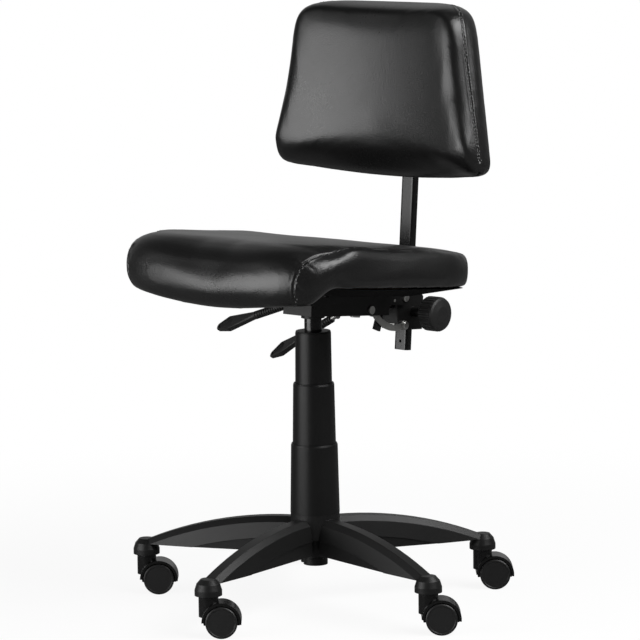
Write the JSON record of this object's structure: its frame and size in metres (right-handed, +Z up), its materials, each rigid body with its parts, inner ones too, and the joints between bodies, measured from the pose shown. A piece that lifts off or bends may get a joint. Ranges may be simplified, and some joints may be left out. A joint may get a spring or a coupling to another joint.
{
  "type": "ergonomic office chair",
  "caption": "Task chair with a waterfall seat, a padded back on a flat black bar, a gas column and a star base on casters.",
  "frame": {"origin": "on the column's axis, at floor level", "axes": "+X to the sitter's left, +Y towards the back of the chair, +Z up; the chair faces -Y"},
  "size_m": [0.6199, 0.612, 0.9632],
  "materials": {
    "base_plastic": "satin",
    "cover_plastic": "satin",
    "moulded_plastic": "fine texture",
    "hood_plastic": "semi-gloss",
    "wheel_plastic": "matte",
    "guide_plastic": "smooth",
    "black_metal": "satin powder coat",
    "gloss_metal": "gloss enamel",
    "bright_steel": "zinc plated",
    "spring_steel": "oiled",
    "brass": "turned",
    "bumper_rubber": "matte",
    "plywood": "sanded",
    "leather": "glossy, fine grain"
  },
  "bodies": {
    "base": {"star_base": "base_plastic", "column_tube": "black_metal", "guide_bush": "guide_plastic", "thrust_bearing": "bright_steel", "cover_lower": "cover_plastic"},
    "rod": {"piston_rod": "bright_steel", "piston": "guide_plastic", "bumper": "bumper_rubber", "rod_clip": "bright_steel"},
    "middle_cover": {"cover_middle": "cover_plastic"},
    "mechanism": {"gas_tube": "gloss_metal", "gas_gland": "brass", "cover_upper": "cover_plastic", "cone_bush": "black_metal", "mech_housing": "black_metal", "seat_plate": "black_metal", "seat_screws": "bright_steel", "seat_board": "plywood", "seat_pan": "moulded_plastic", "seat_cushion": "leather", "mech_fasteners": "bright_steel", "back_spring": "spring_steel"},
    "valve_pin": {"release_pin": "bright_steel"},
    "lift_lever": {"lift_lever_rod": "bright_steel", "lift_lever_grip": "moulded_plastic"},
    "lock_lever": {"lock_lever_rod": "bright_steel", "lock_lever_grip": "moulded_plastic"},
    "bracket": {"back_bracket": "black_metal", "guide_sleeve": "moulded_plastic", "bracket_fasteners": "bright_steel"},
    "link": {"lock_link": "bright_steel", "link_pad": "bumper_rubber"},
    "back": {"back_bar": "gloss_metal", "back_plate": "black_metal", "back_screws": "bright_steel", "back_shell": "moulded_plastic", "back_pad": "leather"},
    "knob": {"clamp_knob": "moulded_plastic", "clamp_screw": "bright_steel"},
    "shoe": {"clamp_shoe": "brass"},
    "caster_1": {"caster_1_pins": "bright_steel", "caster_1_hood": "hood_plastic"},
    "caster_1_left": {"caster_1_wheel_left": "wheel_plastic"},
    "caster_1_right": {"caster_1_wheel_right": "wheel_plastic"},
    "caster_2": {"caster_2_pins": "bright_steel", "caster_2_hood": "hood_plastic"},
    "caster_2_left": {"caster_2_wheel_left": "wheel_plastic"},
    "caster_2_right": {"caster_2_wheel_right": "wheel_plastic"},
    "caster_3": {"caster_3_pins": "bright_steel", "caster_3_hood": "hood_plastic"},
    "caster_3_left": {"caster_3_wheel_left": "wheel_plastic"},
    "caster_3_right": {"caster_3_wheel_right": "wheel_plastic"},
    "caster_4": {"caster_4_pins": "bright_steel", "caster_4_hood": "hood_plastic"},
    "caster_4_left": {"caster_4_wheel_left": "wheel_plastic"},
    "caster_4_right": {"caster_4_wheel_right": "wheel_plastic"},
    "caster_5": {"caster_5_pins": "bright_steel", "caster_5_hood": "hood_plastic"},
    "caster_5_left": {"caster_5_wheel_left": "wheel_plastic"},
    "caster_5_right": {"caster_5_wheel_right": "wheel_plastic"}
  },
  "joints": [
    {"name": "seat_swivel", "type": "hinge", "parent": "base", "child": "rod", "pos_m": [0, 0, 0.0724], "axis": [0, 0, 1], "continuous": true},
    {"name": "seat_height", "type": "slide", "parent": "rod", "child": "mechanism", "axis": [0, 0, 1], "range_m": [-0.13, 0]},
    {"name": "cover_follow", "type": "slide", "parent": "base", "child": "middle_cover", "axis": [0, 0, 1], "range_m": [-0.0655, 0]},
    {"name": "lift_lever_turn", "type": "hinge", "parent": "mechanism", "child": "lift_lever", "pos_m": [-0.026, -0.02, 0.488], "axis": [0, 1, 0], "range_deg": [0, 9], "stiffness_Nm_per_rad": 1.5, "springref_deg": -8.59},
    {"name": "valve_press", "type": "slide", "parent": "mechanism", "child": "valve_pin", "axis": [0, 0, 1], "range_m": [-0.0048, 0]},
    {"name": "lock_lever_turn", "type": "hinge", "parent": "mechanism", "child": "lock_lever", "pos_m": [0, 0.10707, 0.46728], "axis": [1, 0, 0], "range_deg": [0, 20]},
    {"name": "back_tilt", "type": "hinge", "parent": "mechanism", "child": "bracket", "pos_m": [0, 0.19274, 0.47852], "axis": [-1, 0, 0], "range_deg": [0, 16], "stiffness_Nm_per_rad": 25, "springref_deg": -34.38, "deforming": ["back_spring"]},
    {"name": "link_turn", "type": "hinge", "parent": "bracket", "child": "link", "pos_m": [0, 0.19856, 0.43169], "axis": [-1, 0, 0], "range_deg": [-13, 0]},
    {"name": "back_height", "type": "slide", "parent": "bracket", "child": "back", "axis": [0, 0.0802, 0.9968], "range_m": [-0.04, 0.03]},
    {"name": "knob_turn", "type": "hinge", "parent": "bracket", "child": "knob", "pos_m": [0.06, 0.2254, 0.451], "axis": [1, 0, 0], "range_deg": [0, 360]},
    {"name": "shoe_press", "type": "slide", "parent": "bracket", "child": "shoe", "axis": [1, 0, 0], "range_m": [0, 0.0013]},
    {"name": "caster_1_swivel", "type": "hinge", "parent": "base", "child": "caster_1", "pos_m": [0.03534, -0.28784, 0.0655], "axis": [0, 0, 1], "continuous": true},
    {"name": "caster_1_left_roll", "type": "hinge", "parent": "caster_1", "child": "caster_1_left", "pos_m": [0.0502, -0.27446, 0.025], "axis": [-0.6691, 0.7431, 0], "continuous": true},
    {"name": "caster_1_right_roll", "type": "hinge", "parent": "caster_1", "child": "caster_1_right", "pos_m": [0.0502, -0.27446, 0.025], "axis": [-0.6691, 0.7431, 0], "continuous": true},
    {"name": "caster_2_swivel", "type": "hinge", "parent": "base", "child": "caster_2", "pos_m": [0.28467, -0.05534, 0.0655], "axis": [0, 0, 1], "continuous": true},
    {"name": "caster_2_left_roll", "type": "hinge", "parent": "caster_2", "child": "caster_2_left", "pos_m": [0.29953, -0.04195, 0.025], "axis": [-0.6691, 0.7431, 0], "continuous": true},
    {"name": "caster_2_right_roll", "type": "hinge", "parent": "caster_2", "child": "caster_2_right", "pos_m": [0.29953, -0.04195, 0.025], "axis": [-0.6691, 0.7431, 0], "continuous": true},
    {"name": "caster_3_swivel", "type": "hinge", "parent": "base", "child": "caster_3", "pos_m": [0.14059, 0.25364, 0.0655], "axis": [0, 0, 1], "continuous": true},
    {"name": "caster_3_left_roll", "type": "hinge", "parent": "caster_3", "child": "caster_3_left", "pos_m": [0.15546, 0.26702, 0.025], "axis": [-0.6691, 0.7431, 0], "continuous": true},
    {"name": "caster_3_right_roll", "type": "hinge", "parent": "caster_3", "child": "caster_3_right", "pos_m": [0.15546, 0.26702, 0.025], "axis": [-0.6691, 0.7431, 0], "continuous": true},
    {"name": "caster_4_swivel", "type": "hinge", "parent": "base", "child": "caster_4", "pos_m": [-0.19778, 0.21209, 0.0655], "axis": [0, 0, 1], "continuous": true},
    {"name": "caster_4_left_roll", "type": "hinge", "parent": "caster_4", "child": "caster_4_left", "pos_m": [-0.21116, 0.22695, 0.025], "axis": [-0.7431, -0.6691, 0], "continuous": true},
    {"name": "caster_4_right_roll", "type": "hinge", "parent": "caster_4", "child": "caster_4_right", "pos_m": [-0.21116, 0.22695, 0.025], "axis": [-0.7431, -0.6691, 0], "continuous": true},
    {"name": "caster_5_swivel", "type": "hinge", "parent": "base", "child": "caster_5", "pos_m": [-0.26283, -0.12256, 0.0655], "axis": [0, 0, 1], "continuous": true},
    {"name": "caster_5_left_roll", "type": "hinge", "parent": "caster_5", "child": "caster_5_left", "pos_m": [-0.24797, -0.10918, 0.025], "axis": [-0.6691, 0.7431, 0], "continuous": true},
    {"name": "caster_5_right_roll", "type": "hinge", "parent": "caster_5", "child": "caster_5_right", "pos_m": [-0.24797, -0.10918, 0.025], "axis": [-0.6691, 0.7431, 0], "continuous": true}
  ],
  "couplings": [
    {"joint": "cover_follow", "follows": "seat_height", "ratio": 0.5},
    {"joint": "valve_press", "follows": "lift_lever_turn", "m_per_rad": -0.03},
    {"joint": "link_turn", "follows": "back_tilt", "ratio": -0.805},
    {"joint": "shoe_press", "follows": "knob_turn", "m_per_rad": 0.0002}
  ]
}
